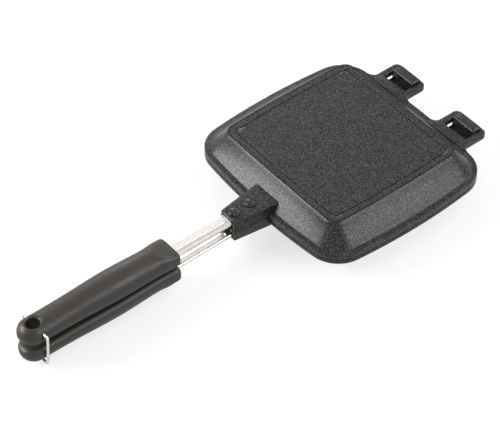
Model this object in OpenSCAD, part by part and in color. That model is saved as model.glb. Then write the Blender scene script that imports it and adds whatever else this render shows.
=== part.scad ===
// Closed hot-sandwich iron for a gas flame: two die-cast pans joined by hooked
// hinges, riveted channel shanks, moulded grips and a wire clip at the end.
// X runs across the pan, +Y from the grips to the hinge and +Z up. The origin
// is the middle of the lower pan's flat base. All sizes are in millimetres.

/* [Pan] */
// Width of the pan over its rim
pan_w = 150; // [136:1:170]
// Length of the pan over its rim, from the grip side to the hinge side
pan_l = 140; // [126:1:160]
// Height of the closed pair, from base to top
pan_h = 36; // [35.6:0.1:42]
// Radius of the slightly bowed sides of the rim
side_bow_r = 460; // [300:10:900]
// Radius of the rim's corners
rim_corner_r = 22.5; // [18:0.5:30]
// Height of one half of the rim above the face where the halves meet
rim_h = 3.7; // [3.2:0.05:5]
// Width of the flat on top of the rim
rim_flat_w = 3; // [2:0.1:4]
// Width of the face on which the two halves meet
rim_face_w = 5.2; // [4.6:0.1:7]
// Width of the sloping wall at the pan's two sides
wall_side_w = 15; // [13:0.25:19]
// Width of the sloping wall at the grip end and the hinge end
wall_end_w = 13.75; // [13:0.25:19]
// Radius of the fillet between the wall and the rim
wall_fillet_r = 2.5; // [1:0.1:4]
// Radius of the plateau's corners
plateau_corner_r = 3.5; // [2:0.5:8]
// Thickness of the cast plateau
floor_t = 3; // [2.2:0.1:4]
// Distance of the panel groove from the plateau's edge
groove_inset = 5; // [3:0.5:9]
// Width of the panel groove
groove_w = 0.9; // [0.5:0.1:1.5]
// Depth of the panel groove
groove_d = 0.5; // [0.3:0.1:1]
// Gap between the two halves where their rims meet
rim_gap = 0.3; // [0.2:0.05:0.6]

/* [Hinge] */
// Distance of each hinge tab from the middle
tab_x = 30; // [24:0.5:36]
// Width of a hinge tab
tab_w = 29.5; // [27:0.5:32]
// Reach of a hinge tab past the rim
tab_reach = 19.4; // [18.6:0.2:24]
// Thickness of a hinge tab
tab_t = 4; // [3.6:0.1:5]
// Radius of a tab's outer corners
tab_corner_r = 4; // [2:0.2:5]
// Radius in plan between a tab and the rim
tab_fillet_r = 4; // [2:0.5:6]
// Width of the slot in a tab
slot_w = 20.4; // [19:0.1:22]
// Distance from the rim to the slot
slot_inset = 3.5; // [2.5:0.1:5]
// Diameter of the round bar at the end of the slot
bar_d = 3.8; // [3:0.1:4.2]
// Clearance between a hook's upright and each end of its slot
hook_side_gap = 0.5; // [0.4:0.1:1.4]
// Width of the arm that carries a hook
hook_arm_w = 17; // [12:0.2:18]
// Thickness of the hook's upright
hook_t = 4.5; // [3.5:0.1:5.5]
// Thickness of the hook over the bar
hook_top_t = 2.3; // [1.6:0.1:3]
// Rounding of the hook's upper edges
hook_round_r = 2; // [1:0.1:2.2]
// Clearance between the hook and the bar
hinge_gap = 0.35; // [0.3:0.05:0.5]

/* [Bracket and rivets] */
// Height of a bracket's top above the face where the halves meet
bracket_h = 8.9; // [8:0.1:10.5]
// Width of a bracket at its open end
bracket_front_w = 15.2; // [14:0.2:17]
// Angle by which each side of a bracket widens towards the pan, in degrees
bracket_taper = 8; // [4:0.5:11]
// Reach of a bracket past the rim
bracket_reach = 23.8; // [22.6:0.2:28]
// Thickness of the bracket's top wall
bracket_top_t = 1.8; // [1.5:0.1:2.5]
// Draft of the bracket's sides, in width over its height
bracket_draft = 0.8; // [0.4:0.1:1.2]
// Edge rounding of the bracket
bracket_edge_r = 1.1; // [0.6:0.1:1.6]
// Clearance between the shank and the bracket's walls
bracket_fit = 0.1; // [0.05:0.05:0.3]
// Depth of the bracket's hollow, from its open end
bracket_hollow_l = 23.5; // [21:0.5:26]
// Diameter of a rivet's domed head
rivet_head_d = 8.2; // [7:0.1:9]
// Height of a rivet's domed head
rivet_head_h = 1.9; // [1.4:0.1:2.4]
// Diameter of a rivet's stem
rivet_d = 4; // [3:0.1:4.6]
// Diameter of a rivet's inner, closing head
rivet_tail_d = 6; // [5.2:0.1:6.4]
// Thickness of a rivet's inner, closing head
rivet_tail_h = 1.2; // [0.8:0.1:1.6]
// Distance between the two rivets of a bracket
rivet_pitch = 12.9; // [11:0.1:14]
// Distance from the bracket's open end to the nearer rivet
rivet_inset = 5.4; // [5:0.1:6.5]

/* [Shank] */
// Width of the channel shank
shank_w = 9.6; // [8.8:0.1:10.4]
// Depth of the channel shank
shank_h = 3.3; // [2.8:0.1:3.8]
// Thickness of the shank's sheet
sheet_t = 1.4; // [1:0.1:1.5]
// Width of the stiffening bead
bead_w = 5.6; // [4:0.1:6]
// Height of the stiffening bead
bead_h = 0.6; // [0.3:0.05:0.9]
// Distance between the bracket and the bead's round end
bead_inset = 2.1; // [1:0.1:5]
// Angle by which each shank and grip leans away from the other, in degrees
lean = 0.8; // [0.3:0.1:1.1]
// Length of shank in view between bracket and grip
shank_view = 44.7; // [36:0.1:56]
// Length of shank held inside the grip
tang_l = 58; // [48:1:68]

/* [Grip] */
// Length of a grip
grip_l = 116; // [106:1:130]
// Distance from a grip's front to its waist
grip_waist_s = 17; // [14:1:22]
// Distance from a grip's front to its thickest place
grip_mid_s = 44; // [36:1:54]
// Length of a grip's end over which its width stays the same
grip_end_l = 30; // [22:1:36]
// Width of a grip at its front
grip_front_w = 21.6; // [20:0.1:24]
// Width of a grip at its waist, just behind the front
grip_waist_w = 20.8; // [19:0.1:23]
// Width of a grip at its middle
grip_mid_w = 21.5; // [19:0.1:24]
// Width of a grip at its rounded end
grip_end_w = 19.4; // [18:0.1:21.5]
// Thickness of a grip at its front, where its back is flattened
grip_front_t = 11; // [10.4:0.1:13]
// Thickness of a grip at its waist
grip_waist_t = 14.5; // [13.5:0.1:16]
// Thickness of a grip at its middle
grip_mid_t = 15.4; // [14:0.1:16]
// Thickness of a grip at its rounded end
grip_end_t = 12.8; // [11.5:0.1:13]
// Distance from the meeting plane to a grip's flat side, at the front
grip_gap = 0.85; // [0.5:0.05:1.2]
// Height of a grip's widest line above its flat side
grip_side_h = 4.6; // [4.2:0.1:6]
// Radius of the edges of a grip's flat side
grip_edge_r = 4; // [3:0.1:4.2]
// Rounding of a grip's front end
grip_front_r = 2.4; // [1.5:0.1:2.8]
// Diameter of the hang hole
hang_hole_d = 9; // [7:0.1:9.6]
// Distance from the grip's end to the middle of the hang hole
hang_inset = 10.7; // [10:0.1:12]
// Rounding at the outer mouth of the hang hole
hang_mouth_r = 1.2; // [0.6:0.1:1.5]
// Clearance between the tang and its pocket, on each side
tang_fit = 0.15; // [0.05:0.05:0.3]

/* [Grip screw] */
// Diameter of a grip screw's stem
screw_d = 3.5; // [3:0.1:4]
// Diameter of a grip screw's countersunk head
screw_head_d = 6.6; // [5.5:0.1:7.4]
// Length of a grip screw
screw_l = 9.4; // [8.5:0.1:11]
// Distance from the tang's inner end to the grip's screw
screw_inset = 16; // [10:1:22]

/* [Clip] */
// Diameter of the clip's wire
wire_d = 2; // [1.6:0.1:2.2]
// Height of the clip's pivot above the face where the halves meet
pivot_h = 9.8; // [9:0.1:10.2]
// Distance from the grip's end to the clip's pivot
pivot_inset = 12.3; // [11.6:0.1:13]
// Depth of a pivot pin in the side of the grip
pivot_depth = 3.1; // [2:0.1:3.4]
// Clearance around a pin in its pivot hole
pin_gap = 0.05; // [0.02:0.01:0.1]
// Clearance between the clip's legs and the grips
clip_side_gap = 0.4; // [0.3:0.05:0.8]
// Clearance between the clip's crossbar and the lower grip
clip_under_gap = 0.6; // [0.45:0.05:0.7]
// Radius of the bend beside each pivot, on the wire's middle line
pin_bend_r = 1.5; // [1.2:0.1:1.8]
// Radius of the clip's two lower bends, on the wire's middle line
clip_bend_r = 6; // [4:0.5:7]

/* [Hidden] */
$fn = 64;

// Overlap that fuses the pieces of one casting, and the reach of a through cut
fuse = 1;
// Radial clearance of a rivet or a screw in its hole
stem_fit = 0.02;
// Bevel on the outer edges of the rim and of the plateau
edge_bevel = 0.5;
// Radius of the plateau's sides, which are very nearly straight
plateau_bow_r = 4000;
// Distance by which the cavity's floor is smaller than the plateau, all round,
// and the radius of the fillet between that floor and the wall
cavity_inset = 1;
cavity_fillet_r = 3;
// Radius in the corners of the tab slots and of the panel groove
slot_corner_r = 1;
groove_corner_r = 3;

// Everything is placed from the face where the two halves meet
meet_z = pan_h / 2;
half_w = pan_w / 2;
half_l = pan_l / 2;
plateau_w = pan_w - 2 * (rim_flat_w + wall_side_w);
plateau_l = pan_l - 2 * (rim_flat_w + wall_end_w);

// Hinge axis: the middle of the bar, at half the tab's thickness
hinge_y = half_l + tab_reach - tab_t / 2;
hinge_z = rim_gap / 2 + tab_t / 2;

// Bracket, shank and grip stations along -Y
bracket_y = half_l + bracket_reach;
bend_y = bracket_y - fuse;
grip_y = bracket_y + shank_view;
web_z = bracket_h - bracket_top_t;
lean_rise = tan(lean);
// Height of the tang's web over the grip's flat side
tang_h = (web_z + (grip_y - bend_y) * lean_rise - grip_gap) * cos(lean);

// Clip pivot, its legs beside the grips and its crossbar under the lower grip
pivot_y = grip_y + grip_l - pivot_inset;
leg_x = grip_end_w / 2 + clip_side_gap + wire_d / 2;
bar_z = grip_gap + (grip_l - pivot_inset) * lean_rise + grip_end_t + clip_under_gap + wire_d / 2;

// ---- shared shapes -------------------------------------------------------

// The upper half stands on the meeting face; the lower half is its mirror image
module upper_side() translate([0, 0, meet_z]) children();
module lower_side() translate([0, 0, meet_z]) mirror([0, 0, 1]) children();

// Closed skin through rings of equal length, first ring on top
module loft(rings) {
  n = len(rings[0]);
  m = len(rings);
  first = [for (i = [n - 1:-1:0]) i];
  last = [for (i = [0:n - 1]) (m - 1) * n + i];
  sides = [for (j = [0:m - 2]) for (i = [0:n - 1])
    let (a = j * n + i, b = j * n + (i + 1) % n)
    each [[a, b, b + n], [a, b + n, a + n]]];
  polyhedron(points = [for (ring = rings) each ring], faces = concat([first], sides, [last]));
}

// Points on one arc
function arc(c, r, from, to, steps = 6) =
  [for (i = [0:steps]) let (a = from + (to - from) * i / steps) c + r * [cos(a), sin(a)]];

// Rectangle between two corners, rounded by r
function rounded(low, high, r) = concat(
  arc([high.x - r, low.y + r], r, -90, 0),
  arc([high.x - r, high.y - r], r, 0, 90),
  arc([low.x + r, high.y - r], r, 90, 180),
  arc([low.x + r, low.y + r], r, 180, 270));

function raised(pts, z) = [for (p = pts) [p.x, p.y, z]];

function mixed(a, b, f) = [for (i = [0:len(a) - 1]) a[i] + (b[i] - a[i]) * f];

// Smooth step from a to b
function eased(a, b, f) = a + (b - a) * (1 - cos(180 * max(0, min(1, f)))) / 2;

// Straight extrusion along X of an outline drawn in Y and Z
module across(w) rotate([90, 0, 90]) translate([0, 0, -w / 2]) linear_extrude(w) children();

// ---- pans ----------------------------------------------------------------

side_steps = 4;
corner_steps = 9;
wall_steps = 6;

// Quarter of a bowed rectangle, from the +X axis to just before the +Y axis.
// Its sides are arcs of radius r, and a corner arc of radius c touches both.
function quarter(hx, hy, r, c) =
  let (
    u = r - hx,
    v = r - hy,
    d = norm([u, v]),
    k = sqrt((r - c) * (r - c) - d * d / 4) / d,
    mid = [k * v - u / 2, k * u - v / 2],
    ax = atan2(mid.y, mid.x + u),
    ay = atan2(mid.y + v, mid.x)
  )
  concat(
    [for (i = [0:side_steps - 1]) let (t = ax * i / side_steps) [r * cos(t) - u, r * sin(t)]],
    [for (i = [0:corner_steps - 1])
      let (t = ax + (ay - ax) * i / corner_steps) mid + c * [cos(t), sin(t)]],
    [for (i = [0:side_steps - 1])
      let (t = ay + (90 - ay) * i / side_steps) [r * cos(t), r * sin(t) - v]]);

// The other three quarters are the first one turned or mirrored
function bowed(hx, hy, r, c) =
  let (
    q = quarter(hx, hy, r, c),
    s = [for (p = quarter(hy, hx, r, c)) [-p.y, p.x]]
  )
  concat(q, s, -q, -s);

function rim_ring(inset) =
  bowed(half_w - inset, half_l - inset, side_bow_r - inset, rim_corner_r - inset);

function plateau_ring(inset) =
  bowed(plateau_w / 2 - inset, plateau_l / 2 - inset, plateau_bow_r, max(1, plateau_corner_r - inset));

// Y of the rim's bowed edge at a given X
function rim_edge(x) = sqrt(side_bow_r * side_bow_r - x * x) - (side_bow_r - half_l);

// Wall from one ring to another: it runs straight from the first and turns level
// at the last in a fillet of radius r, to which the straight is tangent
function wall(first, last, first_z, last_z, run, r) =
  let (
    rise = abs(last_z - first_z),
    slope = atan2(rise - r, run) + asin(r / norm([run, rise - r])),
    fillet = [for (i = [0:wall_steps])
      let (a = slope * (1 - i / wall_steps)) [run - r * sin(a), rise - r * (1 - cos(a))]]
  )
  [for (p = concat([[0, 0]], fillet))
    raised(mixed(first, last, p.x / run), first_z + sign(last_z - first_z) * p.y)];

function reversed(list) = [for (i = [len(list) - 1:-1:0]) list[i]];

// Outside of one pan: plateau, sloping wall and rim
module pan_outside() loft(concat(
  [raised(plateau_ring(edge_bevel), meet_z)],
  wall(plateau_ring(0), rim_ring(rim_flat_w), meet_z - edge_bevel / 2, rim_h, wall_side_w, wall_fillet_r),
  [
    raised(rim_ring(edge_bevel), rim_h),
    raised(rim_ring(0), rim_h - edge_bevel),
    raised(rim_ring(0), rim_gap / 2)
  ]));

// Hollow of one pan, open at the meeting face, with a fillet round its floor
module pan_inside() {
  rim = rim_ring(rim_face_w);
  run = rim_flat_w + wall_side_w + cavity_inset - rim_face_w;
  loft(reversed(concat(
    [raised(rim, rim_gap / 2 - fuse)],
    wall(rim, plateau_ring(cavity_inset), rim_gap / 2, meet_z - floor_t, run, cavity_fillet_r))));
}

// Fine groove that frames the plateau's middle panel
module panel_groove() {
  outer = [plateau_w / 2 - groove_inset, plateau_l / 2 - groove_inset];
  inner = outer - [groove_w, groove_w];
  translate([0, 0, meet_z - groove_d]) linear_extrude(groove_d + fuse) difference() {
    polygon(rounded(-outer, outer, groove_corner_r));
    polygon(rounded(-inner, inner, groove_corner_r - groove_w));
  }
}

// Outline of a bracket at one height, drawn in by the given amounts
function bracket_ring(z, side_in, front_in) =
  let (
    near = -bracket_y + front_in,
    far = -plateau_l / 2,
    front = bracket_front_w / 2 - side_in,
    back = front + (far + bracket_y) * tan(bracket_taper),
    r = bracket_edge_r
  )
  raised(concat(
    arc([front - r, near + r], r, -90, 0, 4),
    [[back, far], [-back, far]],
    arc([-front + r, near + r], r, 180, 270, 4)), z);

// Bracket cast onto the wall, with rounded upper edges and front lower corner
module bracket_block() {
  r = bracket_edge_r;
  top = bracket_h - r;
  low = rim_gap / 2;
  loft(concat(
    [for (a = [90:-22.5:0]) let (in = r * (1 - cos(a)))
      bracket_ring(top + r * sin(a), bracket_draft + in, in)],
    [for (a = [0:22.5:90]) bracket_ring(low + 2 * r * (1 - sin(a)), 0, 2 * r * (1 - cos(a)))]));
}

// Hollow for the shank, open to the front and to the meeting face
module bracket_hollow() {
  w = shank_w + 2 * bracket_fit;
  translate([-w / 2, -bracket_y - fuse, -fuse]) cube([w, bracket_hollow_l + fuse, web_z + fuse]);
}

// The two rivet places of a bracket
front_rivet_y = -bracket_y + rivet_inset;
rear_rivet_y = front_rivet_y + rivet_pitch;

module rivet_hole(y) translate([0, y, 0]) cylinder(d = rivet_d + 2 * stem_fit, h = bracket_h + fuse);

// What both pans share
module pan_body() {
  difference() {
    union() {
      pan_outside();
      bracket_block();
      children();
    }
    pan_inside();
    panel_groove();
    bracket_hollow();
    rivet_hole(front_rivet_y);
    rivet_hole(rear_rivet_y);
  }
}

// Fillet in plan where an edge at x meets the rim; dir is the side it lies on
module rim_fillet(x, dir) {
  r = tab_fillet_r;
  y = rim_edge(x + dir * r);
  translate([x, y]) scale([dir, 1]) polygon(concat([[-fuse, -fuse], [r, -fuse]], arc([r, r], r, 270, 180)));
}

// Hinge tab of the upper pan, with its slot and the round bar that closes it
module hinge_tab(x) {
  end_y = half_l + tab_reach;
  slot_y = half_l + slot_inset;
  bar_y = hinge_y - bar_d / 2;
  root_y = half_l - rim_face_w + fuse;
  low = [x - tab_w / 2, root_y];
  high = [x + tab_w / 2, end_y];
  translate([0, 0, rim_gap / 2]) linear_extrude(tab_t) difference() {
    union() {
      polygon(rounded(low, high, tab_corner_r));
      translate(low) square([tab_w, tab_corner_r]);
      rim_fillet(low.x, -1);
      rim_fillet(high.x, 1);
    }
    polygon(rounded([x - slot_w / 2, slot_y], [x + slot_w / 2, bar_y], slot_corner_r));
    translate([x - slot_w / 2, bar_y - slot_corner_r]) square([slot_w, tab_t + bar_d]);
  }
  translate([x - slot_w / 2 - fuse, hinge_y, hinge_z]) rotate([0, 90, 0])
    cylinder(d = bar_d, h = slot_w + 2 * fuse);
}

// Hook of the lower pan, drawn in the upper half's frame: an arm under the
// tab, an upright through its slot and a lip over its bar
module hinge_hook(x) {
  out_y = hinge_y - bar_d / 2 - hinge_gap;
  in_y = out_y - hook_t;
  tip_y = hinge_y + hinge_gap;
  top_z = hinge_z + bar_d / 2 + hinge_gap + hook_top_t;
  root_y = half_l - rim_face_w + fuse;
  low_z = -rim_gap / 2 - tab_t;
  hook_w = slot_w - 2 * hook_side_gap;
  r = hook_round_r;
  translate([x, 0, 0]) {
    across(hook_arm_w) polygon(rounded([root_y, low_z], [out_y, low_z + tab_t], edge_bevel));
    intersection() {
      across(hook_w) difference() {
        polygon(concat(
          [[in_y, low_z], [tip_y, low_z]],
          arc([tip_y - r / 2, top_z - r / 2], r / 2, 0, 90),
          arc([in_y + r, top_z - r], r, 90, 180)));
        translate([hinge_y, hinge_z]) circle(d = bar_d + 2 * hinge_gap);
        translate([out_y, low_z - fuse]) square([tab_t + bar_d, hinge_z - low_z + fuse]);
      }
      translate([0, tip_y + fuse, 0]) rotate([90, 0, 0]) linear_extrude(tab_reach)
        polygon(concat(
          [[-hook_w / 2, low_z - fuse], [hook_w / 2, low_z - fuse]],
          arc([hook_w / 2 - r, top_z - r], r, 0, 90),
          arc([-hook_w / 2 + r, top_z - r], r, 90, 180)));
    }
  }
}

module upper_pan() color("#43464c") upper_side() pan_body() {
  hinge_tab(-tab_x);
  hinge_tab(tab_x);
}

module lower_pan() color("#3c3f45") {
  lower_side() pan_body();
  upper_side() hinge_hook(-tab_x);
  upper_side() hinge_hook(tab_x);
}

// ---- shanks --------------------------------------------------------------

tang_end_y = grip_y + tang_l * cos(lean);
shank_root_y = bracket_y - bracket_hollow_l + bracket_fit;

// Side outline of a strip that follows the shank: level in the bracket, then
// leaning; it runs from depth low to depth high under the web's top
function strip(from_y, low, high) =
  let (rise = (tang_end_y - bend_y) * lean_rise)
  from_y < bend_y
    ? [[-from_y, web_z - low], [-bend_y, web_z - low], [-tang_end_y, web_z + rise - low],
       [-tang_end_y, web_z + rise - high], [-bend_y, web_z - high], [-from_y, web_z - high]]
    : [[-from_y, web_z + (from_y - bend_y) * lean_rise - low], [-tang_end_y, web_z + rise - low],
       [-tang_end_y, web_z + rise - high], [-from_y, web_z + (from_y - bend_y) * lean_rise - high]];

// Plan of the bead: a long strip with a round end near the bracket
module bead_plan(w) {
  y = -bracket_y - bead_inset - bead_w / 2;
  linear_extrude(4 * web_z) {
    translate([0, y]) circle(d = w);
    translate([-w / 2, -tang_end_y - fuse]) square([w, tang_end_y + fuse + y]);
  }
}

// Channel of bent sheet with a bead pressed up along the middle of its web
module shank() {
  bead_in = bead_w - 2 * bead_h;
  difference() {
    union() {
      across(shank_w) polygon(strip(shank_root_y, 0, shank_h));
      intersection() {
        across(shank_w) polygon(strip(bend_y, -bead_h, sheet_t / 2));
        bead_plan(bead_w);
      }
    }
    across(shank_w - 2 * sheet_t) polygon(strip(shank_root_y - fuse, sheet_t, 3 * shank_h));
    intersection() {
      across(shank_w) polygon(strip(bend_y, sheet_t - bead_h, 2 * sheet_t));
      bead_plan(bead_in);
    }
    translate([0, front_rivet_y, 0]) cylinder(d = rivet_d + 2 * stem_fit, h = bracket_h);
    translate([0, rear_rivet_y, 0]) cylinder(d = rivet_d + 2 * stem_fit, h = bracket_h);
    in_grip() translate([0, screw_inset - tang_l, 0]) cylinder(d = screw_d + 2 * stem_fit, h = grip_mid_t);
  }
}

module upper_shank() color("#c9c8c4") upper_side() shank();
module lower_shank() color("#c9c8c4") lower_side() shank();

// ---- rivets --------------------------------------------------------------

// Domed head on the bracket, stem through bracket and web, closing head inside
module rivet(y) {
  dome_r = (rivet_head_h * rivet_head_h + rivet_head_d * rivet_head_d / 4) / (2 * rivet_head_h);
  web_low = web_z - sheet_t;
  translate([0, y, 0]) {
    intersection() {
      translate([0, 0, bracket_h + rivet_head_h - dome_r]) sphere(r = dome_r);
      translate([0, 0, bracket_h]) cylinder(d = rivet_head_d + fuse, h = rivet_head_h + fuse);
    }
    translate([0, 0, web_low]) cylinder(d = rivet_d, h = bracket_h - web_low);
    translate([0, 0, web_low - rivet_tail_h]) cylinder(d = rivet_tail_d, h = rivet_tail_h);
  }
}

module upper_rivet_front() color("#3f4248") upper_side() rivet(front_rivet_y);
module upper_rivet_rear() color("#3f4248") upper_side() rivet(rear_rivet_y);
module lower_rivet_front() color("#3f4248") lower_side() rivet(front_rivet_y);
module lower_rivet_rear() color("#3f4248") lower_side() rivet(rear_rivet_y);

// ---- grips ---------------------------------------------------------------

// The grip is drawn along -Y from its front, with its flat side at Z = 0
module in_grip() translate([0, -grip_y, grip_gap]) rotate([-lean, 0, 0]) children();

end_r = grip_end_w / 2;
end_s = grip_l - end_r;
// Powers of the superellipses that shape the back, at the front and behind it
front_power = 5;
dome_power = 2.2;
// Facets in a quarter of the back and in a quarter of the turned end
dome_steps = 7;
end_steps = 8;

// A size of the grip at s from its front, from its values at front, waist,
// thickest place and end; the last is reached at end_at
function along(s, front, waist, mid, end, end_at) =
  s < grip_waist_s ? eased(front, waist, (s - grip_front_r) / (grip_waist_s - grip_front_r))
  : s < grip_mid_s ? eased(waist, mid, (s - grip_waist_s) / (grip_mid_s - grip_waist_s))
  : eased(mid, end, (s - grip_mid_s) / (end_at - grip_mid_s));

function grip_w(s) = along(s, grip_front_w, grip_waist_w, grip_mid_w, grip_end_w, grip_l - grip_end_l);
function grip_t(s) = along(s, grip_front_t, grip_waist_t, grip_mid_t, grip_end_t, end_s);
// Power of the superellipse that gives the grip's back: nearly flat in front
function grip_power(s) = along(s, front_power, dome_power, dome_power, dome_power, end_s);

// Right half of a section, from the crown down to the flat side
function half_section(w, t, power, inset) =
  let (hw = w / 2 - inset, rise = t - inset - grip_side_h, r = grip_edge_r - inset)
  concat(
    [for (i = [dome_steps:-1:0]) let (a = 90 * i / dome_steps)
      [hw * pow(cos(a), 2 / power), grip_side_h + rise * pow(sin(a), 2 / power)]],
    arc([hw - r, inset + r], r, 0, -90, 4));

// Half section made whole, from the right over the crown and back along the flat
function ringed(half, s) =
  let (n = len(half))
  concat(
    [for (i = [dome_steps:-1:0]) [half[i].x, -s, half[i].y]],
    [for (i = [1:n - 1]) [-half[i].x, -s, half[i].y]],
    [for (i = [n - 1:-1:dome_steps + 1]) [half[i].x, -s, half[i].y]]);

function section(s, inset) = ringed(half_section(grip_w(s), grip_t(s), grip_power(s), inset), s);

// Height of the round end's back and of its lower edge, at a distance from the
// upright axis about which the end section is turned
function back_z(rho) =
  grip_side_h + (grip_end_t - grip_side_h) * pow(1 - pow(rho / end_r, dome_power), 1 / dome_power);
function edge_z(rho) =
  let (d = max(0, rho - end_r + grip_edge_r)) grip_edge_r - sqrt(grip_edge_r * grip_edge_r - d * d);

// Upright cut through the round end, where the end section has turned by a
function end_section(a) =
  let (flat = half_section(grip_end_w, grip_end_t, dome_power, 0))
  ringed([for (i = [0:len(flat) - 1])
    let (x = flat[i].x * cos(a), rho = min(end_r, norm([x, end_r * sin(a)])))
    [x, i > dome_steps ? edge_z(rho) : back_z(rho)]], end_s + end_r * sin(a));

// Evenly spaced values from one station to just before the next
function spaced(from, to, n) = [for (i = [0:n - 1]) from + (to - from) * i / n];

// Moulded body: one loft from the round end to the rounded front
module grip_body() {
  r = grip_front_r;
  stations = concat(
    spaced(end_s, grip_mid_s, 7),
    spaced(grip_mid_s, grip_waist_s, 4),
    spaced(grip_waist_s, r, 5));
  loft(concat(
    [for (i = [end_steps - 1:-1:1]) end_section(90 * i / end_steps)],
    [for (s = stations) section(s, 0)],
    [for (a = [0:30:90]) section(r * (1 - sin(a)), r * (1 - cos(a)))]));
}

// Turned cutter for the hang hole: a bore whose outer mouth is rounded over
module hang_cut() {
  r = hang_hole_d / 2;
  y = grip_y + grip_l - hang_inset;
  mouth_z = grip_gap + (grip_l - hang_inset) * lean_rise + back_z(r + hang_mouth_r);
  translate([0, -y, 0]) {
    translate([0, 0, -fuse]) cylinder(r = r, h = 2 * grip_end_t);
    rotate_extrude() polygon(concat(
      [[0, mouth_z - hang_mouth_r]],
      arc([r + hang_mouth_r, mouth_z - hang_mouth_r], hang_mouth_r, 180, 90),
      [[r + hang_mouth_r, mouth_z + grip_side_h], [0, mouth_z + grip_side_h]]));
  }
}

// Pocket for the tang, open at the grip's front
module tang_pocket() {
  w = shank_w + 2 * tang_fit;
  h = shank_h + bead_h + 2 * tang_fit;
  translate([-w / 2, -tang_l - tang_fit, tang_h - shank_h - tang_fit])
    cube([w, tang_l + tang_fit + fuse, h]);
}

// Screw with a countersunk head, driven in from the grip's flat side. Its hole
// is the same form with a clearance, carried on by over past that side.
module screw_form(fit, over) {
  head_h = (screw_head_d - screw_d) / 2;
  translate([0, 0, -over])
    cylinder(d1 = screw_head_d + 2 * (fit + over), d2 = screw_d + 2 * fit, h = head_h + over);
  cylinder(d = screw_d + 2 * fit, h = screw_l + fit);
}

module grip() difference() {
  in_grip() grip_body();
  hang_cut();
  in_grip() tang_pocket();
  in_grip() translate([0, screw_inset - tang_l, 0]) screw_form(stem_fit, fuse);
}

module pivot_holes() translate([0, -pivot_y, pivot_h]) rotate([0, 90, 0]) {
  reach = end_r - pivot_depth - pin_gap;
  for (z = [-end_r - fuse, reach])
    translate([0, 0, z]) cylinder(d = wire_d + 2 * pin_gap, h = end_r + fuse - reach);
}

module upper_grip() color("#38352f") upper_side() difference() {
  grip();
  pivot_holes();
}

module lower_grip() color("#35322d") lower_side() grip();

module grip_screw() in_grip() translate([0, screw_inset - tang_l, 0]) screw_form(0, 0);

module upper_grip_screw() color("#b4b5b8") upper_side() grip_screw();
module lower_grip_screw() color("#b4b5b8") lower_side() grip_screw();

// ---- clip ----------------------------------------------------------------

// Quarter bend of the wire, from +X round to -Z, about the origin
module wire_bend(r) rotate([-90, 0, 0]) rotate_extrude(angle = 90) translate([r, 0]) circle(d = wire_d);

// One half of the clip, with its pin in the grip, its leg and half the crossbar
module clip_half() {
  pin_x = end_r - pivot_depth;
  bend_x = leg_x - pin_bend_r;
  foot_x = leg_x - clip_bend_r;
  leg_l = pivot_h + bar_z - pin_bend_r - clip_bend_r;
  translate([pin_x, 0, pivot_h]) rotate([0, 90, 0]) cylinder(d = wire_d, h = bend_x - pin_x);
  translate([bend_x, 0, pivot_h - pin_bend_r]) mirror([0, 0, 1]) wire_bend(pin_bend_r);
  translate([leg_x, 0, -bar_z + clip_bend_r]) cylinder(d = wire_d, h = leg_l);
  translate([foot_x, 0, -bar_z + clip_bend_r]) wire_bend(clip_bend_r);
  translate([0, 0, -bar_z]) rotate([0, 90, 0]) cylinder(d = wire_d, h = foot_x);
}

module wire_clip() color("#a9abad") upper_side() translate([0, -pivot_y, 0]) {
  clip_half();
  mirror([1, 0, 0]) clip_half();
}

// ---- nodes ---------------------------------------------------------------

lower_pan();
upper_pan();
lower_shank();
upper_shank();
lower_rivet_front();
lower_rivet_rear();
upper_rivet_front();
upper_rivet_rear();
lower_grip();
upper_grip();
lower_grip_screw();
upper_grip_screw();
wire_clip();
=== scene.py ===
import math
import bpy
import bmesh
from mathutils import Matrix, Vector


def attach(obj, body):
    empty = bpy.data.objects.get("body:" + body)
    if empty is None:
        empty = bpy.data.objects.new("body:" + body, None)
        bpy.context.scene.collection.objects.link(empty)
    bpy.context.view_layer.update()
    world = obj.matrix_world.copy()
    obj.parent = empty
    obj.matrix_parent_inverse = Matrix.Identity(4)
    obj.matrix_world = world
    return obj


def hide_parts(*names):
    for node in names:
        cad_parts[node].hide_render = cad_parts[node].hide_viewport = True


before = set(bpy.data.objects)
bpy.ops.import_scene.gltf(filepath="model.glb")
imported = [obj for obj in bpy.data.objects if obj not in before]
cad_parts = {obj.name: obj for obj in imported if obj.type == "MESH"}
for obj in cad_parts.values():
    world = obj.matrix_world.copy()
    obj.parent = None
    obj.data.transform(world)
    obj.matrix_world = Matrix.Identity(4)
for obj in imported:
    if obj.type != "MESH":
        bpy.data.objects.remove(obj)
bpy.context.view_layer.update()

# ---- Cast pans --------------------------------------------------------------
# Two die-cast aluminium halves under one dark non-stick coat. Plateau, sloping
# wall, rim, bracket and hinge parts are a single casting, so every inner
# corner has a small fillet and every outer edge is a little rounded.

# Sizes are in millimetres. A half is drawn with its meeting face at 0 and its
# plateau at meet_z, about the pan's middle, with the grip towards -y.
meet_z = 18.0
half_w, half_l = 75.0, 70.0
side_bow, rim_corner = 460.0, 22.5
# Rim: its height, the flat on top, its meeting face, and the gap between halves.
rim_h, rim_flat, rim_face, rim_gap = 3.7, 3.0, 5.2, 0.3
# Wall: how far it runs in at the sides and at the ends, its hollow, its fillet.
wall_side, wall_end, wall_sag, wall_fillet = 15.0, 13.75, 0.6, 2.0
plateau_bow, plateau_end_bow = 950.0, 4000.0
plateau_corner, least_corner = 7.0, 0.8
# Panel line, from the plateau's edge, and the cavity, inside the plateau.
groove_inset, groove_w, groove_d, groove_corner = 5.0, 0.8, 0.65, 4.5
cavity_inset, cavity_fillet, floor_t = 1.0, 3.0, 3.0
plateau_x = half_w - rim_flat - wall_side
plateau_y = half_l - rim_flat - wall_end


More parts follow.
